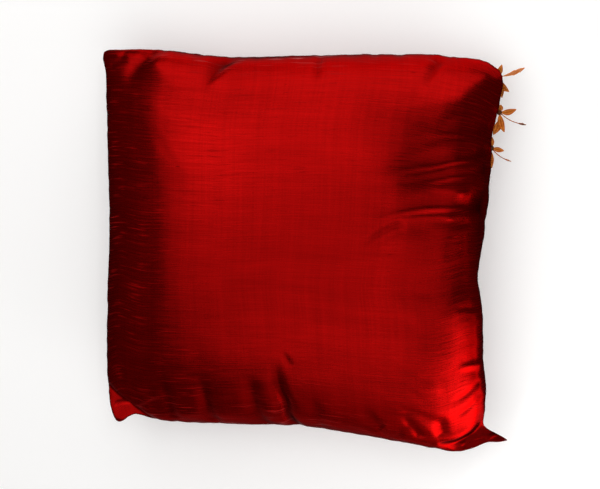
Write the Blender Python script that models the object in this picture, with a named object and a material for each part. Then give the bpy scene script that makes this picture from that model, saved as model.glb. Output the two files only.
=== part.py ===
# Square scatter cushion in slubbed silk, lying on its back with its plain face up, and three
# small needle-lace flowers sewn behind the seam near one corner.
# Metres, +Z up. The origin is on the flat patch that the cushion rests on, under the middle of
# the seam's square.
# Across the face +X is right and +Y is up.

import math
from collections import namedtuple

import bmesh
import bpy
from mathutils import Vector
from mathutils.bvhtree import BVHTree

MM = 0.001

# Cushion: the seam is nearly a square, and the two panels swell from it
SIDE = 400 * MM
SEAM_HEIGHT = 56 * MM
FACE_CROWN = 71 * MM
BACK_CROWN = 71 * MM
FLOOR_ROLL = 7 * MM  # over this height the back rolls into its flat resting patch
CELLS = 48  # grid cells along a side of each panel
CROWDING = 0.75  # share of the grid's spacing that crowds towards the seam
DROOP_SPREAD = 2.5  # a corner's droop runs this many times as far as its tip does
FOLD_END = 1.2  # a fold has died away at this share of its length
FOLD_FADE = 0.55  # share of its length over which it fades before that
FOLD_REACH = 3  # half widths beyond which a fold isn't felt
CALM_EDGE = 0.25  # share of the crown over which the folds grow from the seam

# Seam corners: how far the tip lies from the square's own corner along X and Y, how far it
# droops below the seam, and the length over which the sides run out to it, all in millimetres
Corner = namedtuple("Corner", "x y droop reach")
CORNERS = {
    "top_left": Corner(-2, 0, 4, 14),
    "top_right": Corner(0, -18, 21, 15),
    "bottom_left": Corner(6, -1, 6, 12),
    "bottom_right": Corner(17, 10, 4, 11),
}

# How far each side is drawn in from the square: share of the half side, then millimetres
Draw = namedtuple("Draw", "along inset")
TOP_DRAW = (
    Draw(-1.0, 0), Draw(-0.72, 0.5), Draw(-0.36, 6), Draw(0.0, 3.5), Draw(0.32, 1),
    Draw(0.5, 0), Draw(0.62, -1), Draw(0.76, 2.5), Draw(1.0, 0),
)
RIGHT_DRAW = (
    Draw(-1.0, 0), Draw(-0.82, 1.5), Draw(-0.7, 4.5), Draw(-0.5, 9), Draw(-0.25, 12.5),
    Draw(-0.05, 17), Draw(0.1, 13), Draw(0.3, 10.5), Draw(0.5, 9.5), Draw(0.67, 11),
    Draw(0.8, 5), Draw(1.0, 0),
)
BOTTOM_DRAW = (
    Draw(-1.0, 10), Draw(-0.88, 14), Draw(-0.72, 8), Draw(-0.3, 8.5), Draw(0.0, 11),
    Draw(0.25, 6), Draw(0.5, 0), Draw(0.72, -5), Draw(0.9, -2), Draw(1.0, 0),
)
LEFT_DRAW = (
    Draw(-1.0, 0), Draw(-0.8, -4), Draw(-0.3, -1), Draw(0.1, 3.5), Draw(0.65, 2.5),
    Draw(1.0, 0),
)

# Folds of the face, from the seam inwards: start and end on the face, depth (a ridge is
# negative) and half width, all in millimetres
Fold = namedtuple("Fold", "x y to_x to_y depth width")
FOLDS = (
    Fold(-142, 198, -168, 170, 5.0, 5),
    Fold(-152, 200, -178, 172, -3.5, 6),
    Fold(-70, 196, -95, 160, 4.0, 6),
    Fold(24, 198, 28, 172, 2.0, 6),
    Fold(136, 200, 112, 158, 3.0, 7),
    Fold(196, 124, 115, 140, 3.5, 7),
    Fold(194, 108, 90, 100, 5.0, 8),
    Fold(192, 92, 120, 96, -3.5, 8),
    Fold(190, 70, 78, 48, 4.5, 8),
    Fold(188, 54, 96, 46, -3.0, 7),
    Fold(186, 36, 130, 52, 3.0, 7),
    Fold(184, -8, 140, -14, 3.0, 8),
    Fold(190, -104, 140, -92, 3.5, 8),
    Fold(194, -128, 148, -112, -3.0, 8),
    Fold(196, -150, 150, -128, 3.5, 7),
    Fold(178, -198, 140, -150, 4.0, 7),
    Fold(130, -204, 116, -140, 4.5, 7),
    Fold(106, -204, 90, -150, -3.5, 8),
    Fold(76, -202, 70, -148, 3.5, 8),
    Fold(8, -198, -10, -98, 5.5, 6),
    Fold(-8, -198, -14, -118, -3.5, 7),
    Fold(-24, -196, -42, -96, 2.5, 8),
    Fold(-66, -194, -84, -110, 2.5, 8),
    Fold(-128, -192, -124, -118, 2.0, 8),
    Fold(-202, -156, -164, -150, 3.0, 7),
    Fold(-180, -196, -158, -168, 3.5, 6),
    Fold(-196, 60, -158, 56, 1.5, 9),
    Fold(-200, -60, -160, -66, 1.5, 9),
)

# Needle-lace flowers: a round knot with petals and a loose thread drawn out of its middle belt
PETAL_THICKNESS = 1.3 * MM
THREAD_THICKNESS = 1.1 * MM
KNOT_RADIUS = 3 * MM
KNOT_SEGMENTS = 12
KNOT_RINGS = 5
LEVEL = 0.1  # a face of the knot whose normal rises less than this is on its middle belt
SEAT_GAP = 0.3 * MM
LEAF_WIDTHS = (0.45, 0.8, 1.0, 0.95, 0.6)  # share of the width at even steps to the tip
THREAD_WIDTHS = (1.0, 1.0, 1.0, 1.2, 2.0, 1.4)

# One row for each arm of a flower: the flower, kind, tip beyond the knot in X, Y and Z,
# sideways bow, and greatest width, all in millimetres
Arm = namedtuple("Arm", "flower kind x y z bow width")
ARMS = (
    Arm(1, "petal", 6, 15, -4, 1, 4.4),
    Arm(1, "petal", 14, -12, -3, -1, 4.6),
    Arm(1, "petal", 4, -19, -2, 2, 4.4),
    Arm(1, "thread", 29, 11, -4, -2, 1.3),
    Arm(2, "petal", -1, 6, -4, 0, 3.6),
    Arm(2, "petal", 15, 1.5, 0, 1, 4.2),
    Arm(2, "petal", 4.5, -19, 1, -1, 4.2),
    Arm(2, "petal", -3, -21, 0, 2, 4.2),
    Arm(2, "thread", 26, -11, 3, 1, 1.1),
    Arm(3, "petal", -1, 9, -3, 0, 3.4),
    Arm(3, "petal", 11.5, -2, 1, 0, 3.8),
    Arm(3, "petal", -1, -19.5, -2, 2, 4.2),
    Arm(3, "thread", 19.5, -12, 3, 1, 1.0),
)

# Where each knot is sewn on the back panel: shares of the half side, across and up
Knot = namedtuple("Knot", "across up")
KNOTS = (Knot(0.96, 0.95), Knot(0.999, 0.81), Knot(0.999, 0.62))


def clear_scene():
    for item in list(bpy.data.objects):
        bpy.data.objects.remove(item)


def finish_material(name, colour, roughness):
    material = bpy.data.materials.new(name)
    material.use_nodes = True
    shader = material.node_tree.nodes["Principled BSDF"]
    shader.inputs["Base Color"].default_value = (*colour, 1)
    shader.inputs["Roughness"].default_value = roughness
    shader.inputs["Metallic"].default_value = 0
    return material


def place_object(name, mesh, material):
    mesh.materials.append(material)
    item = bpy.data.objects.new(name, mesh)
    bpy.context.scene.collection.objects.link(item)
    return item


def smooth_row(rows, along):
    # Catmull-Rom curve through the rows of a side, read at a share of the half side
    last = len(rows) - 1
    k = max(0, min(last - 1, sum(1 for row in rows[1:] if row.along <= along)))
    span = rows[k + 1].along - rows[k].along
    t = (along - rows[k].along) / span

    def slope(i):
        a, b = max(0, i - 1), min(last, i + 1)
        return (rows[b].inset - rows[a].inset) / (rows[b].along - rows[a].along) * span

    blend = t * t * (3 - 2 * t)
    rise = t * (1 - t) ** 2 * slope(k) - t * t * (1 - t) * slope(k + 1)
    return rows[k].inset * (1 - blend) + rows[k + 1].inset * blend + rise


def seam_side(side, along):
    # A point of the seam; along runs left to right, or bottom to top
    half = SIDE / 2
    ends = {
        "top": ("top_left", "top_right", TOP_DRAW),
        "bottom": ("bottom_left", "bottom_right", BOTTOM_DRAW),
        "left": ("bottom_left", "top_left", LEFT_DRAW),
        "right": ("bottom_right", "top_right", RIGHT_DRAW),
    }
    first_name, last_name, rows = ends[side]
    first, last = CORNERS[first_name], CORNERS[last_name]
    near_first = math.exp(-(1 + along) * half / (first.reach * MM))
    near_last = math.exp(-(1 - along) * half / (last.reach * MM))
    weight = (1 + along) / 2
    inset = smooth_row(rows, along) * MM * (1 - near_first) * (1 - near_last)
    spread = 1 / DROOP_SPREAD
    drop = (first.droop * near_first ** spread + last.droop * near_last ** spread) * MM
    if side in ("top", "bottom"):
        outward = 1 if side == "top" else -1
        x = along * half + (first.x * (1 - weight) + last.x * weight) * MM
        y = outward * (half - inset) + (first.y * near_first + last.y * near_last) * MM
    else:
        outward = 1 if side == "right" else -1
        y = along * half + (first.y * (1 - weight) + last.y * weight) * MM
        x = outward * (half - inset) + (first.x * near_first + last.x * near_last) * MM
    return Vector((x, y, SEAM_HEIGHT - drop))


def seam_plane(a, b):
    # Surface stretched across the seam, from the four sides and the four corners
    u, v = (a + 1) / 2, (b + 1) / 2
    across = seam_side("bottom", a) * (1 - v) + seam_side("top", a) * v
    upward = seam_side("left", b) * (1 - u) + seam_side("right", b) * u
    bottom_left, bottom_right = seam_side("bottom", -1), seam_side("bottom", 1)
    top_left, top_right = seam_side("top", -1), seam_side("top", 1)
    low = bottom_left * (1 - u) + bottom_right * u
    high = top_left * (1 - u) + top_right * u
    return across + upward - low * (1 - v) - high * v


def fold_height(x, y):
    # Sum of the face's troughs and ridges at a point of the seam plane
    total = 0.0
    for fold in FOLDS:
        start = Vector((fold.x, fold.y)) * MM
        run = Vector((fold.to_x, fold.to_y)) * MM - start
        place = Vector((x, y)) - start
        t = place.dot(run) / run.length_squared
        aside = (place - run * t).length / (fold.width * MM)
        if not 0 <= t <= FOLD_END or aside > FOLD_REACH:
            continue
        fade = min(1.0, (FOLD_END - t) / FOLD_FADE)
        total -= fold.depth * MM * math.exp(-aside * aside) * fade * fade * (3 - 2 * fade)
    return total


def floor_rest(z):
    # Smooth clamp, exactly level where the panel would reach the floor
    share = min(1.0, max(0.0, 0.5 + 0.5 * z / FLOOR_ROLL))
    return z * share + FLOOR_ROLL * share * (1 - share)


def panel_point(a, b, face):
    # Face (1) or back (-1) panel over the seam plane
    place = seam_plane(a, b)
    swell = math.sqrt(max(0.0, (1 - a * a) * (1 - b * b)))
    middle = SEAM_HEIGHT + (place.z - SEAM_HEIGHT) * (1 - swell)
    if face > 0:
        grown = min(1.0, swell / CALM_EDGE)
        place.z = middle + FACE_CROWN * swell + fold_height(place.x, place.y) * grown
    else:
        place.z = floor_rest(middle - BACK_CROWN * swell)
    return place


def spacing(step):
    # Grid line number to a share of the half side, crowded towards the seam
    s = -1 + 2 * step / CELLS
    return (1 - CROWDING) * s + CROWDING * math.sin(math.pi / 2 * s)


def build_cushion():
    bm = bmesh.new()
    corners = {}
    for i in range(CELLS + 1):
        for j in range(CELLS + 1):
            a, b = spacing(i), spacing(j)
            corners[i, j, 1] = bm.verts.new(panel_point(a, b, 1))
            on_seam = i in (0, CELLS) or j in (0, CELLS)
            corners[i, j, -1] = corners[i, j, 1] if on_seam else bm.verts.new(panel_point(a, b, -1))
    for i in range(CELLS):
        for j in range(CELLS):
            ring = ((i, j), (i + 1, j), (i + 1, j + 1), (i, j + 1))
            bm.faces.new([corners[x, y, 1] for x, y in ring])
            bm.faces.new([corners[x, y, -1] for x, y in reversed(ring)])
    bmesh.ops.triangulate(bm, faces=bm.faces[:])
    mesh = bpy.data.meshes.new("cushion")
    bm.to_mesh(mesh)
    bm.free()
    mesh.shade_smooth()
    return mesh


def arm_frame(tip):
    # Directions along an arm, across its leaf and through its thickness
    along = tip.normalized()
    across = Vector((0, 0, 1)).cross(along).normalized()
    return along, across, along.cross(across)


def grow_arm(bm, root, arm):
    # Extrude a petal or a thread from one face of the knot
    tip = Vector((arm.x, arm.y, arm.z)) * MM
    along, across, through = arm_frame(tip)
    thread = arm.kind == "thread"
    widths = THREAD_WIDTHS if thread else LEAF_WIDTHS
    thickness = THREAD_THICKNESS if thread else PETAL_THICKNESS
    centre = root.calc_center_median()
    signs = []
    for vert in root.verts:
        away = vert.co - centre
        signs.append((math.copysign(1, away.dot(across)), math.copysign(1, away.dot(through))))
    face = root
    for step, share in enumerate(widths, 1):
        t = step / len(widths)
        middle = centre.lerp(tip, t) + across * (arm.bow * MM * math.sin(math.pi * t))
        face = bmesh.ops.extrude_discrete_faces(bm, faces=[face])["faces"][0]
        half_width = arm.width * MM * share / 2
        for vert, (side, layer) in zip(face.verts, signs):
            vert.co = middle + across * (side * half_width) + through * (layer * thickness / 2)


def build_flower(number):
    bm = bmesh.new()
    bmesh.ops.create_uvsphere(
        bm, u_segments=KNOT_SEGMENTS, v_segments=KNOT_RINGS, radius=KNOT_RADIUS)
    bm.normal_update()
    belt = [face for face in bm.faces if abs(face.normal.z) < LEVEL]
    for arm in (row for row in ARMS if row.flower == number):
        heading = Vector((arm.x, arm.y, 0)).normalized()
        root = max(belt, key=lambda face: face.normal.dot(heading))
        belt.remove(root)
        grow_arm(bm, root, arm)
    bmesh.ops.recalc_face_normals(bm, faces=bm.faces[:])
    bmesh.ops.triangulate(bm, faces=bm.faces[:])
    mesh = bpy.data.meshes.new("lace_flower_%d" % number)
    bm.to_mesh(mesh)
    bm.free()
    mesh.shade_smooth()
    return mesh


def seat_flower(flower, knot, surface):
    # Put the knot against the back panel
    spot, normal, _, _ = surface.find_nearest(panel_point(knot.across, knot.up, -1))
    flower.location = spot + normal * (KNOT_RADIUS + SEAT_GAP)


def build_part():
    clear_scene()
    silk = finish_material("red_silk", (0.50, 0.004, 0.004), 0.40)
    lace = finish_material("gold_lace", (0.55, 0.22, 0.04), 0.60)
    cushion_mesh = build_cushion()
    place_object("cushion", cushion_mesh, silk)
    surface = BVHTree.FromPolygons(
        [vert.co.copy() for vert in cushion_mesh.vertices],
        [tuple(face.vertices) for face in cushion_mesh.polygons])
    for number, knot in enumerate(KNOTS, 1):
        flower = place_object("lace_flower_%d" % number, build_flower(number), lace)
        seat_flower(flower, knot, surface)


build_part()
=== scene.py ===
import math

import bpy
import numpy as np
from mathutils import Euler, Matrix, Quaternion, Vector, noise
from mathutils.bvhtree import BVHTree


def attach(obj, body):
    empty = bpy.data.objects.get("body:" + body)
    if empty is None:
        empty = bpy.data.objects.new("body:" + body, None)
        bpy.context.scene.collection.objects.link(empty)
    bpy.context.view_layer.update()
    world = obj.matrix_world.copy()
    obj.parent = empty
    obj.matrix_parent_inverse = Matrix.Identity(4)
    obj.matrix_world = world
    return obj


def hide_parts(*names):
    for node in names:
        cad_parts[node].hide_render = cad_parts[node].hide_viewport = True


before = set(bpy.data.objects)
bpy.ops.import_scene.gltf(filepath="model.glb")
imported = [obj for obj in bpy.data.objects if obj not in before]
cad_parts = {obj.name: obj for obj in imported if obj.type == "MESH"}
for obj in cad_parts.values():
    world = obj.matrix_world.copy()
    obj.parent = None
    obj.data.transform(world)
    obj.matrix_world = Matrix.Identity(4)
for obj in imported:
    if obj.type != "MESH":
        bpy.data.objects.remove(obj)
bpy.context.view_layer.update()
mm = 0.001
scene = bpy.context.scene


# shader maths: one small class, so that a pattern reads as an expression
class Wire:
    def __init__(self, tree, socket=None):
        self.tree = tree
        self.socket = socket

    def node(self, kind, settings=None, inputs=None, output=0):
        made = self.tree.nodes.new(kind)
        for key, value in (settings or {}).items():
            setattr(made, key, value)
        for key, value in (inputs or {}).items():
            if isinstance(value, Wire):
                self.tree.links.new(value.socket, made.inputs[key])
            else:
                made.inputs[key].default_value = value
        return Wire(self.tree, made.outputs[output])

    def maths(self, operation, *values):
        inputs = dict(enumerate((self, *values)))
        return self.node("ShaderNodeMath", {"operation": operation}, inputs)

    def __add__(self, other):
        return self.maths("ADD", other)

    def __radd__(self, other):
        return self.maths("ADD", other)

    def __sub__(self, other):
        return self.maths("SUBTRACT", other)

    def __rsub__(self, other):
        return self * -1 + other

    def __mul__(self, other):
        return self.maths("MULTIPLY", other)

    def __rmul__(self, other):
        return self.maths("MULTIPLY", other)

    def fit(self, low, high, toLow=0.0, toHigh=1.0):
        # map a range onto another, with its ends held
        return self.node(
            "ShaderNodeMapRange", {"clamp": True},
            {"Value": self, "From Min": low, "From Max": high, "To Min": toLow, "To Max": toHigh})

    def tint(self, dark, light):
        # a colour between two, by this value
        return self.node(
            "ShaderNodeMix", {"data_type": "RGBA"},
            {0: self, 6: (*dark, 1), 7: (*light, 1)}, 2)

    def stretched(self, scale, detail, roughness):
        # noise over this vector, with its own scale along each way of the cloth
        place = self.node("ShaderNodeMapping", None, {"Vector": self, "Scale": scale})
        return place.node(
            "ShaderNodeTexNoise", None,
            {"Vector": place, "Scale": 1.0, "Detail": detail, "Roughness": roughness})


def newMaterial(name):
    material = bpy.data.materials.new(name)
    material.use_nodes = True
    shader = material.node_tree.nodes["Principled BSDF"]
    return material, shader, Wire(material.node_tree)


def plug(tree, shader, **links):
    for name, wire in links.items():
        tree.links.new(wire.socket, shader.inputs[name.replace("_", " ")])


def addPiece(name, mesh, material):
    piece = bpy.data.objects.new(name, mesh)
    scene.collection.objects.link(piece)
    mesh.materials.append(material)
    return piece


# cushion: the same seam, crown and rest as the solid, on a finer grid
cushion = {
    "side": 400 * mm,
    "seamHeight": 56 * mm,
    "faceCrown": 71 * mm,
    "backCrown": 71 * mm,
    "floorRoll": 7 * mm,
    "cells": 108,
    "crowding": 0.30,
    "droopSpread": 2.5,
    # in mm: tip beyond the square's corner in X and Y, droop, length of the run out to it, rounding
    "corners": {
        "topLeft": (-5, 2, 4, 16, 14),
        "topRight": (4, -5, 19, 26, 28),
        "bottomLeft": (-5.5, -7, 6, 19, 22),
        "bottomRight": (23, 4, 4, 12, 4),
    },
    # share of the half side, then how far the side is drawn in there, in mm
    "draw": {
        "top": ((-1, 0), (-0.72, -2.5), (-0.36, 3.5), (0, 1), (0.32, -1.5), (0.5, -2), (0.62, -3),
                (0.76, -0.5), (0.9, 0), (1, 1)),
        "right": ((-1, 0), (-0.95, 1), (-0.91, 5.5), (-0.84, 3), (-0.7, 2.5), (-0.5, 6.5),
                  (-0.25, 10), (-0.12, 15.5), (-0.05, 15.5), (0.1, 11.5), (0.3, 8.5), (0.5, 7),
                  (0.62, 7.5), (0.7, 5), (0.8, 1.5), (1, 0)),
        "bottom": ((-1, 8), (-0.88, 12), (-0.72, 5.5), (-0.3, 9.5), (0, 12), (0.25, 7.5), (0.5, 0.5),
                   (0.72, -7), (0.79, -6), (0.84, -2), (0.89, 3.5), (0.94, 3.5), (1, 1)),
        "left": ((-1, 0), (-0.8, -6.5), (-0.3, -3), (0.1, 2), (0.65, 1), (1, 0)),
    },
    # gathers: where the cloth is bunched along a side, over what width, and how tightly
    "gathers": {
        "top": ((-0.88, 0.03, 0.3), (-0.66, 0.04, 0.4), (-0.33, 0.04, 0.55), (0.12, 0.04, 0.2),
                (0.72, 0.05, 0.5)),
        "right": ((-0.54, 0.04, 0.5), (-0.26, 0.05, 0.4), (0.2, 0.05, 0.5),
                  (0.4, 0.04, 0.4), (0.5, 0.04, 0.45), (0.64, 0.05, 0.4)),
        "bottom": ((-0.86, 0.04, 0.4), (-0.63, 0.04, 0.3), (-0.4, 0.04, 0.35), (-0.14, 0.04, 0.35),
                   (0.01, 0.04, 0.6), (0.16, 0.03, 0.3), (0.48, 0.04, 0.45), (0.66, 0.05, 0.5),
                   (0.8, 0.04, 0.4)),
        "left": ((-0.76, 0.05, 0.35), (-0.55, 0.03, 0.2), (-0.3, 0.05, 0.25), (0.2, 0.05, 0.2),
                 (0.62, 0.03, 0.35), (0.85, 0.04, 0.3)),
    },
    "pinch": 1.5 * mm,
    # folds of the face, in mm: start near the seam, end, bend of the run, height (a trough is
    # negative), then the half widths to its left and to its right; a trough also darkens the silk
    # with painted shade
    "folds": (
        (-139, 206, -169, 160, -6, -3.0, 8, 9),
        (-52, 206, -94, 164, -5, -4.5, 6, 8),
        (-192, 183, -168, 192, 1, -1.0, 4, 4),
        (21, 206, 22, 172, 2, -1.8, 4, 4),
        (140, 200, 124, 166, -1, -2.6, 4, 6),
        (203, 88, 96, 84, 0, -2.4, 34, 34),
        (203, 131, 106, 135, 2, -2.2, 6, 12),
        (203, 109, 80, 92, -3, -2.8, 5, 11),
        (203, 91, 100, 83, -2, -1.8, 4, 8),
        (172, 72, 128, 82, 0, 0.7, 3, 4),
        (203, 47, 74, 43, -17, -2.4, 4, 9),
        (162, 48, 80, 41, -9, 1.1, 4, 4),
        (114, 47, 68, 22, 0, -1.6, 5, 4),
        (176, 42, 132, 49, 0, -0.7, 4, 6),
        (192, 36, 146, 12, 0, -0.8, 14, 14),
        (198, -49, 156, -39, -1, -1.4, 3, 9),
        (198, -110, 164, -104, -3, 2.0, 4, 4),
        (192, -121, 160, -143, 2, -0.8, 3, 3),
        (192, -134, 162, -162, 4, -0.8, 3, 3),
        (156, -184, 153, -158, 1, -1.9, 6, 5),
        (134, -186, 114, -146, 0, -2.2, 6, 6),
        (107, -190, 124, -166, 1, -1.2, 4, 4),
        (94, -176, 73, -144, 0, -1.4, 7, 6),
        (31, -188, 19, -130, -3, -0.8, 8, 8),
        (2, -192, -12, -94, 1, -4.2, 6, 6),
        (5, -104, -3, -86, 0, -0.8, 3, 3),
        (-30, -188, -40, -110, 1, -2.4, 9, 7),
        (-82, -188, -87, -113, 2, -2.4, 10, 7),
        (-126, -186, -135, -115, 0, -2.2, 8, 6),
        (-152, -184, -163, -146, -1, 1.0, 5, 5),
        (-203, -181, -163, -183, 7, -1.6, 1.8, 1.8),
        (170, -198, 202, -186, 0, 1.8, 1.8, 2),
        (200, -193, 212, -186, 1, 1.2, 1.6, 1.6),
        (150, 196, 168, -150, 12, 4.0, 22, 26),
        (206, -36, 112, -32, 0, 3.2, 36, 34),
        (186, 80, 186, -72, 0, -4.0, 10, 18),
        (-134, 206, -138, 120, 0, 1.2, 20, 24),
    ),
    # shares of a fold's run over which it rises and fades, and the trough depth at which the painted
    # shade is full
    "foldRise": 0.12,
    "foldFade": 0.55,
    "creaseDepth": 5 * mm,
    # the runs waver by this much, over this size
    "warp": 2.2 * mm,
    "warpSize": 28 * mm,
    # tabs of the lower corners, in mm: centre and radius of an arc, level of the plane at the arc,
    # its fall along X and Y, width inside the arc over which the cloth is drawn down, side in X,
    # start along X and Y, and the share of painted shade that darkens the silk there
    "tabs": (
        (52, 147, 399, 57, 0, 0, 6, -1, 128, 0),
        (160, -160, 36, 54, 0.55, 0.40, 5, 1, 150, 1.0),
    ),
    "tabFade": 28,
    "tabThick": 1.4,
    # corners whose filling wrinkles are eased: place on the cloth, reach, passes
    "calm": ((-1, 1, 0.45, 25), (1, 1, 0.5, 30), (1, -1, 0.3, 15)),
    "calmShare": 0.8,
    # small relief: broad unevenness, puckers that start at the seam, and the groove of the seam
    "uneven": 0.35 * mm,
    "unevenSize": 42 * mm,
    "pucker": 0.75 * mm,
    "puckerReach": 9 * mm,
    "puckerSize": 8 * mm,
    "groove": 0.25 * mm,
    "grooveWidth": 1.6 * mm,
    "calmEdge": 4 * mm,
    # cloth: panel side before it is filled, then how it is simulated
    "panel": 430 * mm,
    "pressure": 3.4,
    "frames": 40,
    "quality": 6,
    "clothMass": 0.05,
    "airDamping": 2.0,
    # stiffness and damping
    "tension": (30.0, 10.0),
    "compression": (4.0, 5.0),
    "shear": (3.0, 5.0),
    "bending": (0.01, 0.5),
}


def smoothRow(rows, along):
    # smooth curve through short rows, read at an array of places
    places = np.array([row[0] for row in rows], float)
    values = np.array([row[1] for row in rows], float)
    last = len(rows) - 1
    k = np.clip(np.searchsorted(places, along, side="right") - 1, 0, last - 1)
    before, after = np.maximum(k - 1, 0), np.minimum(k + 2, last)
    span = places[k + 1] - places[k]
    slopeIn = (values[k + 1] - values[before]) / (places[k + 1] - places[before]) * span
    slopeOut = (values[after] - values[k]) / (places[after] - places[k]) * span
    t = (along - places[k]) / span
    blend = t * t * (3 - 2 * t)
    bend = t * (1 - t) ** 2 * slopeIn - t * t * (1 - t) * slopeOut
    return values[k] * (1 - blend) + values[k + 1] * blend + bend


def seamSide(side, along):
    # points of one side of the seam; along runs left to right, or bottom to top
    half = cushion["side"] / 2
    ends = {
        "top": ("topLeft", "topRight"), "bottom": ("bottomLeft", "bottomRight"),
        "left": ("bottomLeft", "topLeft"), "right": ("bottomRight", "topRight"),
    }
    first, last = (cushion["corners"][name] for name in ends[side])
    fromFirst, fromLast = (1 + along) * half / mm, (1 - along) * half / mm
    nearFirst = np.exp(-(fromFirst / first[3]) ** 2)
    nearLast = np.exp(-(fromLast / last[3]) ** 2)
    # each side runs through half of the arc that rounds a corner
    turnFirst = np.clip(1 - fromFirst / first[4], 0, 1)
    turnLast = np.clip(1 - fromLast / last[4], 0, 1)
    slide = first[4] * (turnFirst - np.sin(math.pi / 4 * turnFirst))
    slide -= last[4] * (turnLast - np.sin(math.pi / 4 * turnLast))
    cut = first[4] * (1 - np.cos(math.pi / 4 * turnFirst))
    cut += last[4] * (1 - np.cos(math.pi / 4 * turnLast))
    weight = (1 + along) / 2
    inset = smoothRow(cushion["draw"][side], along) * mm
    for centre, width, tightness in cushion["gathers"][side]:
        inset += cushion["pinch"] * tightness * np.exp(-((along - centre) / width * 2) ** 2)
    inset *= (1 - nearFirst) * (1 - nearLast)
    inset += cut * mm
    spread = cushion["droopSpread"]
    drop = first[2] * np.exp(-fromFirst / first[3] / spread)
    drop = (drop + last[2] * np.exp(-fromLast / last[3] / spread)) * mm
    run = 0 if side in ("top", "bottom") else 1
    outward = 1 if side in ("top", "right") else -1
    point = np.empty((len(along), 3))
    point[:, run] = along * half + (first[run] * (1 - weight) + last[run] * weight + slide) * mm
    off = (first[1 - run] * nearFirst + last[1 - run] * nearLast) * mm
    point[:, 1 - run] = outward * (half - inset) + off
    point[:, 2] = cushion["seamHeight"] - drop
    return point


def gathered(side, along):
    # the same places, bunched where the side is gathered
    fine = np.linspace(-1, 1, 2001)
    crowd = np.ones_like(fine)
    for centre, width, tightness in cushion["gathers"][side]:
        crowd -= tightness * np.exp(-((fine - centre) / width) ** 2)
    total = np.concatenate([[0], np.cumsum((crowd[1:] + crowd[:-1]) / 2)])
    return np.interp(along, fine, -1 + 2 * total / total[-1])


def seamPlane(places):
    # surface stretched across the seam, on a grid of these places
    bottom, top, left, right = (
        seamSide(side, gathered(side, places)) for side in ("bottom", "top", "left", "right"))
    u = ((places + 1) / 2)[:, None, None]
    v = ((places + 1) / 2)[None, :, None]
    low = bottom[0] * (1 - u) + bottom[-1] * u
    high = top[0] * (1 - u) + top[-1] * u
    across = bottom[:, None] * (1 - v) + top[:, None] * v
    upward = left[None] * (1 - u) + right[None] * u
    return across + upward - low * (1 - v) - high * v


def noiseOver(places, size, seed):
    # smooth noise about 0, read at an array of places
    offset = Vector((seed * 3.7, seed * 1.3, seed * 5.1))
    return np.array([noise.noise(Vector(place) / size + offset) for place in places.tolist()])


def foldHeight(x, y):
    # sum of the face's troughs and ridges, in metres
    total = np.zeros_like(x)
    for startX, startY, endX, endY, bend, height, left, right in cushion["folds"]:
        runX, runY = (endX - startX) * mm, (endY - startY) * mm
        length = math.hypot(runX, runY)
        dx, dy = x - startX * mm, y - startY * mm
        t = (dx * runX + dy * runY) / length ** 2
        aside = (dy * runX - dx * runY) / length - 4 * bend * mm * t * (1 - t)
        aside /= np.where(aside > 0, left, right) * mm
        rise = np.clip(t / cushion["foldRise"], 0, 1)
        fade = np.clip((1 - t) / cushion["foldFade"], 0, 1)
        run = rise * rise * (3 - 2 * rise) * fade * fade * (3 - 2 * fade)
        total += height * mm * np.exp(-aside ** 2) * run
    return total


def pressTabs(places, onFace):
    # level the corners beyond their arcs, and draw the cloth inside each arc down to them; also give
    # the share of painted shade on the tabs
    z = places[:, 2] / mm
    dark = np.zeros_like(z)
    for tab in cushion["tabs"]:
        centreX, centreY, radius, level, fallX, fallY, width, side, start, shade = tab
        dx, dy = places[:, 0] / mm - centreX, places[:, 1] / mm - centreY
        away = np.hypot(dx, dy)
        beyond = 1 - radius / np.maximum(away, 1e-6)
        plane = level - fallX * dx * beyond - fallY * dy * beyond - cushion["tabThick"] * (1 - onFace)
        share = np.where(away > radius, 1, np.exp(-((away - radius) / width) ** 2) * onFace)
        for reach in (places[:, 0] / mm * side, -places[:, 1] / mm):
            share = share * np.clip((reach - start) / cushion["tabFade"], 0, 1)
        z -= (z - plane) * share * (z > plane)
        # painted shade: the silk on a pressed tab is darkened by this share
        dark = np.maximum(dark, share * shade * onFace)
    return z * mm, dark


def floorRest(z):
    # smooth clamp, level where the panel would pass through the floor
    roll = cushion["floorRoll"]
    share = np.clip(0.5 + 0.5 * z / roll, 0, 1)
    return z * share + roll * share * (1 - share)


def gridSpacing():
    s = np.linspace(-1, 1, cushion["cells"] + 1)
    k = cushion["crowding"]
    return (1 - k) * s + k * np.sin(np.pi / 2 * s)


def panelGrid():
    # places, flat cloth places and vertex numbers of the two panels, which share the seam
    n = cushion["cells"]
    a = gridSpacing()
    plane = seamPlane(a)
    swell = np.sqrt(np.maximum(0, (1 - a[:, None] ** 2) * (1 - a[None, :] ** 2)))
    middle = cushion["seamHeight"] + (plane[..., 2] - cushion["seamHeight"]) * (1 - swell)
    face, back = plane.copy(), plane.copy()
    face[..., 2] = middle + cushion["faceCrown"] * swell
    back[..., 2] = middle - cushion["backCrown"] * swell
    half = cushion["panel"] / 2
    flat = np.zeros_like(plane)
    flat[..., 0] = a[:, None] * half
    flat[..., 1] = a[None, :] * half
    numbers = np.arange((n + 1) ** 2).reshape(n + 1, n + 1)
    inner = np.zeros((n + 1, n + 1), bool)
    inner[1:-1, 1:-1] = True
    under = numbers.copy()
    under[inner] = (n + 1) ** 2 + np.arange((n - 1) ** 2)
    places = np.concatenate([face.reshape(-1, 3), back[inner]])
    flats = np.concatenate([flat.reshape(-1, 3), flat[inner]])
    return places, flats, numbers, under


def quads(numbers):
    return np.stack([numbers[:-1, :-1], numbers[1:, :-1], numbers[1:, 1:], numbers[:-1, 1:]],
                    -1).reshape(-1, 4)


def clothMesh():
    places, flats, face, under = panelGrid()
    rings = np.concatenate([quads(face), quads(under)[:, ::-1]])
    mesh = bpy.data.meshes.new("silkCushion")
    mesh.from_pydata(places.tolist(), [], rings.tolist())
    return mesh, flats, face, under


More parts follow.
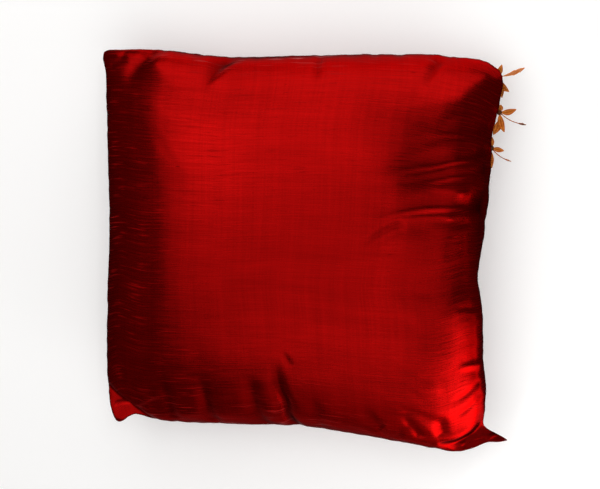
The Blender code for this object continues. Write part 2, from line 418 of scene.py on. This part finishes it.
def inflate(piece, flats, seam):
    # fill the panels: pressure against cloth that was cut larger than the seam it is gathered to
    piece.shape_key_add(name="Basis")
    cut = piece.shape_key_add(name="cut")
    level = flats + (0, 0, cushion["seamHeight"])
    cut.data.foreach_set("co", level.astype(np.float32).ravel())
    group = piece.vertex_groups.new(name="seam")
    group.add([int(v) for v in seam], 1.0, "REPLACE")
    cloth = piece.modifiers.new("filling", "CLOTH")
    settings = cloth.settings
    settings.quality = cushion["quality"]
    settings.mass = cushion["clothMass"]
    settings.air_damping = cushion["airDamping"]
    settings.tension_stiffness, settings.tension_damping = cushion["tension"]
    settings.compression_stiffness, settings.compression_damping = cushion["compression"]
    settings.shear_stiffness, settings.shear_damping = cushion["shear"]
    settings.bending_stiffness, settings.bending_damping = cushion["bending"]
    settings.use_pressure = True
    settings.uniform_pressure_force = cushion["pressure"]
    settings.effector_weights.gravity = 0
    settings.rest_shape_key = cut
    settings.vertex_group_mass = "seam"
    cloth.collision_settings.use_collision = False
    cloth.point_cache.frame_start = 1
    cloth.point_cache.frame_end = cushion["frames"]
    for number in range(1, cushion["frames"] + 1):
        scene.frame_set(number)
    graph = bpy.context.evaluated_depsgraph_get()
    filled = bpy.data.meshes.new_from_object(piece.evaluated_get(graph))
    places = np.empty(len(filled.vertices) * 3, np.float32)
    filled.vertices.foreach_get("co", places)
    piece.modifiers.clear()
    piece.shape_key_clear()
    bpy.data.meshes.remove(filled)
    scene.frame_set(1)
    return places.reshape(-1, 3).astype(float)


def calmCorners(places, panels):
    # ease the wrinkles that the filling leaves at some corners
    s = np.linspace(-1, 1, cushion["cells"] + 1)
    for cornerX, cornerY, reach, passes in cushion["calm"]:
        away = np.hypot(s[:, None] - cornerX, s[None, :] - cornerY)
        weight = cushion["calmShare"] * np.exp(-(away / reach) ** 2)[1:-1, 1:-1, None]
        for numbers in panels:
            grid = places[numbers]
            for _ in range(passes):
                mean = grid[:-2, 1:-1] + grid[2:, 1:-1] + grid[1:-1, :-2] + grid[1:-1, 2:]
                grid[1:-1, 1:-1] += (mean / 4 - grid[1:-1, 1:-1]) * weight
            places[numbers] = grid


def readVectors(source, name, count):
    values = np.empty(count * 3, np.float32)
    source.foreach_get(name, values)
    return values.reshape(-1, 3).astype(float)


def refined(piece):
    # the mesh with one subdivision, as a mesh of its own
    finer = piece.modifiers.new("finer", "SUBSURF")
    finer.levels = 1
    graph = bpy.context.evaluated_depsgraph_get()
    mesh = bpy.data.meshes.new_from_object(piece.evaluated_get(graph))
    piece.modifiers.clear()
    return mesh


def dressFolds(mesh):
    # folds, puckers and the seam's groove, on the fine mesh, after the tabs are pressed; also the
    # share of painted shade in troughs and on the tabs
    count = len(mesh.vertices)
    places = readVectors(mesh.vertices, "co", count)
    cloth = readVectors(mesh.attributes["cloth"].data, "vector", count)
    onFace = 1 - np.clip(cloth[:, 2], 0, 1)
    toSeam = cushion["panel"] / 2 - np.abs(cloth[:, :2]).max(1)
    places[:, 2], tabPaintedShade = pressTabs(places, onFace)
    mesh.vertices.foreach_set("co", places.astype(np.float32).ravel())
    mesh.update()
    outward = readVectors(mesh.vertex_normals, "vector", count)
    calm = np.clip(toSeam / cushion["calmEdge"], 0, 1)
    warpX = noiseOver(places, cushion["warpSize"], 1) * cushion["warp"]
    warpY = noiseOver(places, cushion["warpSize"], 2) * cushion["warp"]
    lift = foldHeight(places[:, 0] + warpX, places[:, 1] + warpY) * onFace * calm
    # share of painted shade for the silk: the deeper of a trough's depth and a pressed tab's share
    depth = np.maximum(np.clip(-lift / cushion["creaseDepth"], 0, 1), tabPaintedShade)
    crease = mesh.attributes.new("crease", "FLOAT", "POINT")
    crease.data.foreach_set("value", depth.astype(np.float32))
    lift += cushion["uneven"] * noiseOver(places, cushion["unevenSize"], 3) * calm
    ripple = noiseOver(cloth, cushion["puckerSize"], 4)
    lift += cushion["pucker"] * ripple * np.exp(-toSeam / cushion["puckerReach"])
    lift -= cushion["groove"] * np.exp(-(toSeam / cushion["grooveWidth"]) ** 2)
    places += outward * lift[:, None]
    back = cloth[:, 2] > 0.9
    places[back, 2] = np.maximum(places[back, 2], 0)
    mesh.vertices.foreach_set("co", places.astype(np.float32).ravel())
    mesh.update()


def buildCushion(material):
    mesh, flats, face, under = clothMesh()
    piece = addPiece("silkCushion", mesh, material)
    seam = np.unique(np.concatenate([face[0], face[-1], face[:, 0], face[:, -1]]))
    places = readVectors(mesh.vertices, "co", len(mesh.vertices))
    places = inflate(piece, flats, seam)
    calmCorners(places, (face, under))
    below = under[1:-1, 1:-1].ravel()
    places[below, 2] = floorRest(places[below, 2])
    mesh.vertices.foreach_set("co", places.astype(np.float32).ravel())
    # where each point lies on its flat panel, in metres, for the weave
    side = np.zeros(len(places))
    side[below] = 1.0
    cloth = np.column_stack([flats[:, 0], flats[:, 1], side])
    layer = mesh.attributes.new("cloth", "FLOAT_VECTOR", "POINT")
    layer.data.foreach_set("vector", cloth.astype(np.float32).ravel())
    piece.data = refined(piece)
    dressFolds(piece.data)
    piece.data.shade_smooth()
    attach(piece, "root")
    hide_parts("cushion")
    return piece


silk = {
    "deep": (0.03, 0.0003, 0.0003),
    "bright": (0.44, 0.0029, 0.0027),
    "edge": (0.22, 0.04, 0.04),
    # roughness of a plain run of weft, and of a slubbed one
    "roughness": (0.21, 0.35),
    "metallic": 0.92,
    "slubDull": 0.6,
    "specular": 0.08,
    # noise: scales along X and Y of the flat cloth per metre, its detail, and its roughness
    "weft": ((15, 900, 1), 2.0, 0.55),
    "runs": ((14, 520, 1), 3.0, 0.65),
    "slub": ((34, 470, 1), 1.5, 0.5),
    "knots": ((75, 430, 1), 1.0, 0.5),
    "warp": ((640, 9, 1), 1.0, 0.5),
    "bands": ((110, 5, 1), 1.0, 0.5),
    "broad": ((9, 50, 1), 2.0, 0.5),
    "patches": ((22, 30, 1), 1.0, 0.5),
    "ribs": ((70, 3200, 1), 0.0, 0.5),
    # part of each noise's range that is used, and what it becomes
    "slubRange": (0.59, 0.70),
    "knotRange": (0.74, 0.84),
    "patchRange": (0.40, 0.62, 0.25, 1.0),
    "runRange": (0.38, 0.66),
    # shade without a pattern, then how much each pattern changes it
    "tone": 0.64,
    "toneShares": {"weft": 0.34, "warp": 0.22, "bands": 0.15, "broad": 0.32,
                   "slub": -0.04, "knots": -0.35},
    # relief: full height, and the share of it that each pattern has
    "height": 0.15 * mm,
    "heightShares": {"weft": 0.7, "slub": 0.4, "knots": 1.0, "warp": 0.15, "ribs": 0.267},
    # the weft's lean: start and bend at the left and at the right, in metres of the flat cloth,
    # the run past which the left lean no longer grows, and where up the panel the right one fades in
    "lean": (-0.04, 0.35, 0.04, 0.5),
    "leanEnd": -0.115,
    "leanUp": (0.0, 0.1),
    # slubs fade between these two places along X, from the first share of them to the second
    "plain": (0.06, 0.15, 1.0, 0.3),
    # painted shade at the seam: from and to this far from it, and the level there; then the strength
    # of the painted shade in troughs and on the tabs
    "paintedSeamShade": (0.3 * mm, 4 * mm, 0.8),
    "creaseShade": 0.7,
}


def silkMaterial():
    material, shader, start = newMaterial("redSilk")
    cloth = start.node("ShaderNodeAttribute", {"attribute_name": "cloth"}, None, "Vector")
    x = start.node("ShaderNodeSeparateXYZ", None, {"Vector": cloth}, "X")
    y = start.node("ShaderNodeSeparateXYZ", None, {"Vector": cloth}, "Y")
    panel = start.node("ShaderNodeSeparateXYZ", None, {"Vector": cloth}, "Z")
    leftFrom, leftBend, rightFrom, rightBend = silk["lean"]
    leftRun = (x - leftFrom).maths("MINIMUM", 0.0).maths("MAXIMUM", silk["leanEnd"])
    rightRun = (x - rightFrom).maths("MAXIMUM", 0.0)
    rightLean = rightRun * rightRun * rightBend * y.fit(*silk["leanUp"])
    leant = y + leftRun * leftRun * leftBend + rightLean
    weave = start.node("ShaderNodeCombineXYZ", None, {"X": x, "Y": leant, "Z": panel}, "Vector")
    weft, runs, warp, bands, broad, ribs = (
        weave.stretched(*silk[name]) for name in ("weft", "runs", "warp", "bands", "broad", "ribs"))
    patches = weave.stretched(*silk["patches"]).fit(*silk["patchRange"])
    slub = weave.stretched(*silk["slub"]).fit(*silk["slubRange"]) * patches * x.fit(*silk["plain"])
    knots = weave.stretched(*silk["knots"]).fit(*silk["knotRange"])
    share = silk["toneShares"]
    tone = silk["tone"] + (weft - 0.5) * share["weft"] + (warp - 0.5) * share["warp"]
    tone = tone + (bands - 0.5) * share["bands"] + (broad - 0.5) * share["broad"]
    tone = tone + slub * share["slub"] + knots * share["knots"]
    part = silk["heightShares"]
    height = weft * part["weft"] + slub * part["slub"] + knots * part["knots"]
    height = height + warp * part["warp"] + ribs * part["ribs"]
    toSeam = cushion["panel"] / 2 - x.maths("ABSOLUTE").maths("MAXIMUM", y.maths("ABSOLUTE"))
    # painted shade: the silk is darkened within a few mm of the seam, on every side
    near, far, level = silk["paintedSeamShade"]
    # painted shade: the silk is darkened in troughs and on the pressed tabs by this share
    crease = start.node("ShaderNodeAttribute", {"attribute_name": "crease"}, None, "Fac")
    shade = tone * toSeam.fit(near, far, level, 1.0) * (1 - crease * silk["creaseShade"])
    colour = shade.fit(0.0, 1.0).tint(silk["deep"], silk["bright"])
    bump = start.node("ShaderNodeBump", None,
                      {"Height": height, "Strength": 1.0, "Distance": silk["height"]}, "Normal")
    rough = runs.fit(*silk["runRange"], *silk["roughness"])
    metal = silk["metallic"] - slub * silk["slubDull"]
    shader.inputs["Specular IOR Level"].default_value = silk["specular"]
    shader.inputs["Specular Tint"].default_value = (*silk["edge"], 1)
    plug(material.node_tree, shader, Base_Color=colour, Metallic=metal, Roughness=rough, Normal=bump)
    return material


# lace flowers, in mm: petals of stitched thread round a knot, and one loose end each
lace = {
    # centre of each knot
    "knots": ((190.9, 179.3, 35.4), (197.7, 146.2, 45.4), (191.5, 111.5, 50.1)),
    "knotRadius": 3.0,
    # flower, kind, tip from the knot's centre, sideways bow, greatest width, share that is stalk
    "arms": (
        (1, "petal", (7, 12, -4), -1.5, 4.4, 0.12),
        (1, "petal", (15, -14, -3), -1, 6.0, 0.10),
        (1, "petal", (8.5, -20, -2), 2.5, 5.0, 0.15),
        (1, "plume", (29, 9.5, -4), -2, 3.6, 0.30),
        (2, "petal", (1, 7, -4), 0, 4.4, 0.10),
        (2, "petal", (16, 3.5, 0), -1.2, 4.8, 0.10),
        (2, "petal", (5.5, -19, 1), -1, 5.2, 0.10),
        (2, "petal", (-5, -22, 0), 2, 6.0, 0.34),
        (2, "bud", (26, -11, 3), -2.5, 1.8, 0.30),
        (3, "petal", (-0.5, 11, -3), 0, 4.2, 0.10),
        (3, "petal", (12, -2, 1), 0, 3.8, 0.12),
        (3, "petal", (1, -20, -2), -1, 5.2, 0.16),
        (3, "bud", (19.5, -12, 3), -2, 1.0, 0.20),
    ),
    # petal: how far it is cupped, half width of its stalk, where its threads start, and the powers
    # that skew and sharpen its outline
    "cup": 0.35,
    "stalkHalf": 0.25,
    "petalStart": 0.06,
    "petalPowers": (0.9, 1.1),
    # threads along a petal: place across it, radius, shade
    "threads": ((-1, 0.34, 0.45), (1, 0.34, 0.45), (-0.5, 0.26, 0.85), (0, 0.26, 0.35),
                (0.5, 0.26, 0.8)),
    # share of the run past which they thin, and by how much
    "petalTip": (0.95, 0.7),
    # stitches across a petal: number, radius, lean, height above it, shade
    "stitches": (13, 0.15, 0.03, 0.12, 0.7),
    # sheet of fine thread between the threads: half thickness, shade
    "web": (0.09, 0.33),
    # loose ends: plies and shade of each kind, where they start, turns of the plies round each other,
    # and how ragged a swollen ply is, with the waves of it along the run and between the plies
    "ends": {"plume": (4, 0.64), "bud": (2, 0.35)},
    "endStart": 0.08,
    "twist": 4.5,
    "ragged": (0.35, 31, 2.1),
    # radius of a ply, and how much it swells
    "ply": (0.30, 0.28),
    # plies round the middle line: half width of the plain thread, what is taken off the half width of
    # the swollen part, and how flat they lie
    "plyHalf": 0.22,
    "plyInset": 0.35,
    "plyFlat": 0.6,
    # where the swell lies: power that skews a plume's, and the place and steepness of a bud's
    "plumePower": 1.2,
    "budSwell": (0.8, 6),
    # tight bud on its thread: place along it, radius as a share of the width, and what is added
    "bud": ((0.74, 0, 0.2), (0.8, 0.42, 0), (0.87, 0.5, 0), (0.94, 0.36, 0), (1.0, 0, 0.12)),
    "budShade": 0.08,
    # knot: its core as a share of the radius
    "core": 0.85,
    "coreRings": 9,
    "coreShade": 0.05,
    # wraps of thread round the core: number, steps of each, radius, how far in they lie, how much they
    # waver, turns of the slant from one wrap to the next, and shades in turn
    "wraps": 7,
    "wrapSteps": 24,
    "wrapRadius": 0.42,
    "wrapInset": 0.35,
    "wrapWaver": 0.5,
    "wrapSlant": (2.4, 1.7),
    "wrapShades": (0.12, 0.22, 0.32),
    # stitches from the knot to the cloth: number, radii down a stitch, their ring, depth in the cloth
    "holds": 5,
    "holdRadii": (0.4, 0.4, 0.35),
    "holdRing": 1.3,
    "holdDepth": 0.6,
    "holdShade": 0.3,
    "steps": 22,
    # colours by shade: knot, petal, and light gold, which is the plume's own colour and on a petal's
    # ribs and stitches partly painted highlight
    "dark": (0.060, 0.015, 0.002),
    "orange": (0.50, 0.105, 0.005),
    "gold": (0.85, 0.36, 0.06),
    # noise as for the silk, how much each changes the shade, and the relief of the threads
    "fuzz": ((1500, 1500, 1500), 2.0, 0.6),
    "patch": ((260, 260, 260), 1.0, 0.5),
    "fuzzShare": 0.25,
    "patchShare": 0.4,
    "fuzzHeight": 0.1 * mm,
    # shades over which the knot's colour turns to the petal's, and the petal's to the light gold
    "petalRange": (0.05, 0.5),
    "goldRange": (0.5, 1.0),
    "roughness": 0.55,
    "specular": 0.1,
}


class Yarn:
    # gathers tubes and small sheets into one mesh, with a shade for each point
    def __init__(self):
        self.points = []
        self.faces = []
        self.shades = []

    def add(self, points, faces, shade):
        first = len(self.points)
        self.points += [tuple(point) for point in points]
        self.faces += [[first + k for k in face] for face in faces]
        self.shades += [shade] * len(points)

    def tube(self, route, radii, shade, sides=6):
        route = [Vector(point) for point in route]
        side = (route[-1] - route[0]).orthogonal().normalized()
        points, faces = [], []
        for k, point in enumerate(route):
            heading = (route[min(k + 1, len(route) - 1)] - route[max(k - 1, 0)]).normalized()
            side = (side - heading * side.dot(heading)).normalized()
            other = heading.cross(side)
            for j in range(sides):
                turn = 2 * math.pi * j / sides
                points.append(point + (side * math.cos(turn) + other * math.sin(turn)) * radii[k])
        for k in range(len(route) - 1):
            for j in range(sides):
                a, b = k * sides + j, k * sides + (j + 1) % sides
                faces.append((a, b, b + sides, a + sides))
        faces.append(list(range(sides))[::-1])
        faces.append([(len(route) - 1) * sides + j for j in range(sides)])
        self.add(points, faces, shade)

    def web(self, rows, through, halfThick, shade):
        # a thin closed sheet over rows of points
        count, width = len(rows), len(rows[0])
        offset = through * halfThick
        points = [p + offset for row in rows for p in row] + [p - offset for row in rows for p in row]
        faces = []
        under = count * width
        for i in range(count - 1):
            for j in range(width - 1):
                a = i * width + j
                faces.append((a, a + width, a + width + 1, a + 1))
                faces.append((under + a, under + a + 1, under + a + width + 1, under + a + width))
        rim = list(range(width))
        rim += [i * width + width - 1 for i in range(1, count)]
        rim += [(count - 1) * width + j for j in range(width - 2, -1, -1)]
        rim += [i * width for i in range(count - 2, 0, -1)]
        for a, b in zip(rim, rim[1:] + rim[:1]):
            faces.append((a, b, under + b, under + a))
        self.add(points, faces, shade)

    def mesh(self, name):
        made = bpy.data.meshes.new(name)
        made.from_pydata([[value * mm for value in point] for point in self.points], [], self.faces)
        layer = made.attributes.new("shade", "FLOAT", "POINT")
        layer.data.foreach_set("value", np.array(self.shades, np.float32))
        made.update()
        made.shade_smooth()
        return made


def armFrame(tip):
    along = tip.normalized()
    across = Vector((0, 0, 1)).cross(along).normalized()
    return across, along.cross(across)


def bowed(knot, tip, across, bow, t):
    # point of an arm's middle line
    return knot + tip * t + across * bow * math.sin(math.pi * t)


def growPetal(yarn, knot, tip, bow, width, stalk):
    across, through = armFrame(tip)
    steps = lace["steps"]
    skew, sharpen = lace["petalPowers"]

    def place(t, q):
        # q runs from one rim to the other
        u = max(0, (t - stalk) / (1 - stalk))
        half = width / 2 * math.sin(math.pi * min(u, 1) ** skew) ** sharpen + lace["stalkHalf"]
        middle = bowed(knot, tip, across, bow, t)
        return middle + across * half * q + through * lace["cup"] * half * q * q

    first = lace["petalStart"]
    shares = [first + (1 - first) * k / steps for k in range(steps + 1)]
    thinFrom, thin = lace["petalTip"]
    for q, radius, shade in lace["threads"]:
        radii = [radius * (1 if t < thinFrom else thin) for t in shares]
        yarn.tube([place(t, q) for t in shares], radii, shade)
    places = [q for q, _, _ in sorted(lace["threads"])]
    rows = [[place(t, q) for q in places] for t in shares if t > stalk]
    yarn.web(rows, through, *lace["web"])
    count, radius, lean, rise, shade = lace["stitches"]
    for k in range(count):
        t = stalk + (1 - stalk) * (k + 1) / (count + 1)
        turn = lean if k % 2 else -lean
        route = [place(t + turn * q, q) + through * rise for q in places]
        yarn.tube(route, [radius] * len(route), shade, 4)


def growEnd(yarn, knot, kind, tip, bow, width, stalk):
    # a loose end: plied thread that swells to a ragged plume or a bud
    across, through = armFrame(tip)
    steps = lace["steps"] * 2
    first = lace["endStart"]
    thin, swollen = lace["ply"]
    rough, alongWave, plyWave = lace["ragged"]
    budAt, steep = lace["budSwell"]
    plies, shade = lace["ends"][kind]
    for ply in range(plies):
        route, radii = [], []
        for k in range(steps + 1):
            t = first + (1 - first) * k / steps
            u = max(0, (t - stalk) / (1 - stalk))
            swell = 1 - abs(u - budAt) * steep
            if kind == "plume":
                swell = math.sin(math.pi * u ** lace["plumePower"])
            swell = max(0, swell)
            wide = lace["plyHalf"] + (width / 2 - lace["plyInset"]) * swell
            turn = 2 * math.pi * (ply / plies + t * lace["twist"])
            ragged = 1 + rough * math.sin(alongWave * t + plyWave * ply)
            route.append(bowed(knot, tip, across, bow, t) + across * wide * math.cos(turn) * ragged
                         + through * wide * lace["plyFlat"] * math.sin(turn))
            radii.append(thin + swollen * swell)
        yarn.tube(route, radii, shade, 5)
    if kind == "bud":
        core = [bowed(knot, tip, across, bow, t) for t, _, _ in lace["bud"]]
        radii = [width * share + more for _, share, more in lace["bud"]]
        yarn.tube(core, radii, lace["budShade"], 8)


def windKnot(yarn, knot, surface):
    # thread wound into a small ball, and the stitches that hold it to the cloth
    radius = lace["knotRadius"]
    rings = lace["coreRings"]
    turns = [math.pi * k / rings for k in range(rings + 1)]
    core = [knot - Vector((0, 0, radius * lace["core"] * math.cos(turn))) for turn in turns]
    radii = [0.02 + radius * lace["core"] * math.sin(turn) for turn in turns]
    yarn.tube(core, radii, lace["coreShade"], 12)
    swing, dip = lace["wrapSlant"]
    steps = lace["wrapSteps"]
    for wrap in range(lace["wraps"]):
        # each wrap lies over the ball at another slant
        axis = Vector((math.sin(wrap * swing), math.cos(wrap * swing), 0.9 * math.sin(wrap * dip)))
        axis.normalize()
        side = axis.orthogonal().normalized()
        other = axis.cross(side)
        route = []
        for k in range(steps + 1):
            turn = 2 * math.pi * k / steps
            around = (side * math.cos(turn) + other * math.sin(turn)) * (radius - lace["wrapInset"])
            route.append(knot + around + axis * lace["wrapWaver"] * math.sin(turn + wrap))
        shade = lace["wrapShades"][wrap % 3]
        yarn.tube(route, [lace["wrapRadius"]] * len(route), shade, 6)
    spot, normal, _, gap = surface.find_nearest(knot * mm)
    spot = spot / mm
    side = normal.orthogonal().normalized()
    for k in range(lace["holds"]):
        turn = 2 * math.pi * k / lace["holds"]
        around = (side * math.cos(turn) + normal.cross(side) * math.sin(turn)) * lace["holdRing"]
        end = spot + around - normal * lace["holdDepth"]
        route = [knot + around * 0.9, knot.lerp(spot, 0.6) + around * 1.2, end]
        yarn.tube(route, lace["holdRadii"], lace["holdShade"], 5)
    return gap / mm


def laceMaterial():
    material, shader, start = newMaterial("goldLace")
    place = start.node("ShaderNodeTexCoord", None, None, "Object")
    fuzz = place.stretched(*lace["fuzz"])
    patch = place.stretched(*lace["patch"])
    shade = start.node("ShaderNodeAttribute", {"attribute_name": "shade"}, None, "Fac")
    tone = shade + (fuzz - 0.5) * lace["fuzzShare"] + (patch - 0.5) * lace["patchShare"]
    body = tone.fit(*lace["petalRange"]).tint(lace["dark"], lace["orange"])
    colour = start.node("ShaderNodeMix", {"data_type": "RGBA"},
                        {0: tone.fit(*lace["goldRange"]), 6: body, 7: (*lace["gold"], 1)}, 2)
    bump = start.node("ShaderNodeBump", None,
                      {"Height": fuzz, "Strength": 1.0, "Distance": lace["fuzzHeight"]}, "Normal")
    shader.inputs["Roughness"].default_value = lace["roughness"]
    shader.inputs["Specular IOR Level"].default_value = lace["specular"]
    plug(material.node_tree, shader, Base_Color=colour, Normal=bump)
    return material


def buildFlowers(cloth, material):
    graph = bpy.context.evaluated_depsgraph_get()
    surface = BVHTree.FromObject(cloth, graph)
    for number, centre in enumerate(lace["knots"], 1):
        yarn = Yarn()
        knot = Vector(centre)
        gap = windKnot(yarn, knot, surface)
        for flower, kind, tip, bow, width, stalk in lace["arms"]:
            if flower != number:
                continue
            if kind == "petal":
                growPetal(yarn, knot, Vector(tip), bow, width, stalk)
            else:
                growEnd(yarn, knot, kind, Vector(tip), bow, width, stalk)
        piece = addPiece("laceFlower%d" % number, yarn.mesh("laceFlower%d" % number), material)
        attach(piece, "root")
        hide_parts("lace_flower_%d" % number)
        print("lace flower %d: knot centre %.1f mm from the cloth, %d faces"
              % (number, gap, len(yarn.faces)))


studio = {
    "lens": 75.0,
    "cameraPlace": (0.2057, 0.3013, 1.2794),
    "cameraTurn": (-13.28, 9.51, 0.39),
    "floorSize": 4.0,
    "floorDrop": 0.5 * mm,
    "floorTone": (0.88, 0.87, 0.86),
    "floorRough": 0.9,
    "floorSpecular": 0.1,
    "floorGlow": 0.17,
    # light of the room, and how bright it is where the camera sees past the floor
    "world": 0.07,
    "backdrop": 0.95,
    # name: shape, place, aimed at, size across and along, turn about its own axis, power
    "lamps": {
        "softbox": ("ELLIPSE", (-0.55, 0.05, 1.75), (-0.55, 0.05, 0.0), (2.4, 4.1), 20, 22.0),
        "innerBox": ("ELLIPSE", (-0.60, 0.15, 1.75), (-0.60, 0.15, 0.0), (1.9, 3.2), 20, 13.0),
        "upperBox": ("ELLIPSE", (-0.25, 1.0, 1.74), (-0.25, 1.0, 0.0), (2.5, 1.7), 8, 5.0),
        "upperRight": ("ELLIPSE", (0.60, 1.1, 1.74), (0.60, 1.1, 0.0), (0.8, 1.3), 0, 5.2),
        "sideBox": ("RECTANGLE", (1.3, -0.9, 1.74), (1.3, -0.9, 0.0), (1.4, 1.6), 0, 5.1),
        "farLamp": ("RECTANGLE", (0.48, 1.75, 0.87), (0.48, 0.0, 0.87), (3.1, 1.72), 0, 26.2),
        "rightLamp": ("RECTANGLE", (0.67, -0.586, 0.28), (0.21, -0.076, 0.28), (0.64, 0.5), 0, 1.5),
        "frontLamp": ("RECTANGLE", (0.30, -1.50, 0.95), (0.1, -0.1, 0.1), (1.3, 1.6), 0, 2.6),
        "leftLamp": ("ELLIPSE", (-0.97, 0.60, 1.5), (-0.97, 0.60, 0.0), (0.9, 1.4), 10, 2.2),
        "lowLamp": ("RECTANGLE", (0.64, -0.64, 0.24), (0.17, -0.1, 0.24), (0.42, 0.4), 0, 1.9),
        # cards just above the floor, which face up and light the undersides of the rim
        "farCard": ("RECTANGLE", (0.035, 0.96, 0.003), (0.035, 0.96, 1.0), (0.51, 1.48), 0, 3.4),
        "nearCard": ("RECTANGLE", (0.22, -0.80, 0.003), (0.22, -0.80, 1.0), (1.05, 1.2), 0, 1.94),
        "sideCard": ("RECTANGLE", (0.70, -0.68, 0.003), (0.70, -0.68, 1.0), (0.92, 0.90), 0, 5.6),
    },
}


def buildStudio():
    lens = bpy.data.cameras.new("camera")
    lens.lens = studio["lens"]
    camera = bpy.data.objects.new("camera", lens)
    camera.location = studio["cameraPlace"]
    camera.rotation_euler = Euler([math.radians(turn) for turn in studio["cameraTurn"]])
    scene.collection.objects.link(camera)
    scene.camera = camera
    for name, (shape, place, aim, size, turn, power) in studio["lamps"].items():
        light = bpy.data.lights.new(name, "AREA")
        light.shape = shape
        light.size, light.size_y = size
        light.energy = power
        lamp = bpy.data.objects.new(name, light)
        lamp.location = place
        lamp.visible_camera = False
        heading = Vector(aim) - Vector(place)
        spin = Quaternion((0, 0, 1), math.radians(turn))
        lamp.rotation_euler = (heading.to_track_quat("-Z", "Y") @ spin).to_euler()
        scene.collection.objects.link(lamp)
    world = bpy.data.worlds.new("studio")
    world.use_nodes = True
    scene.world = world
    sky = Wire(world.node_tree)
    seen = sky.node("ShaderNodeLightPath", None, None, "Is Camera Ray")
    strength = seen.fit(0, 1, studio["world"], studio["backdrop"])
    background = world.node_tree.nodes["Background"]
    background.inputs["Color"].default_value = (1, 1, 1, 1)
    world.node_tree.links.new(strength.socket, background.inputs["Strength"])
    material, shader, _ = newMaterial("paleFloor")
    shader.inputs["Base Color"].default_value = (*studio["floorTone"], 1)
    shader.inputs["Roughness"].default_value = studio["floorRough"]
    shader.inputs["Specular IOR Level"].default_value = studio["floorSpecular"]
    shader.inputs["Emission Color"].default_value = (1, 1, 1, 1)
    shader.inputs["Emission Strength"].default_value = studio["floorGlow"]
    half = studio["floorSize"] / 2
    mesh = bpy.data.meshes.new("floor")
    mesh.from_pydata([(-half, -half, 0), (half, -half, 0), (half, half, 0), (-half, half, 0)],
                     [], [(0, 1, 2, 3)])
    floor = addPiece("floor", mesh, material)
    floor.location.z = -studio["floorDrop"]
    # reflections pass the floor by, so the silk mirrors the dark room beyond it
    floor.visible_glossy = False
    scene.view_settings.view_transform = "Standard"
    scene.view_settings.look = "None"


buildStudio()
print("studio ready")
pillow = buildCushion(silkMaterial())
print("cushion filled")
buildFlowers(pillow, laceMaterial())
print("lace flowers sewn on")
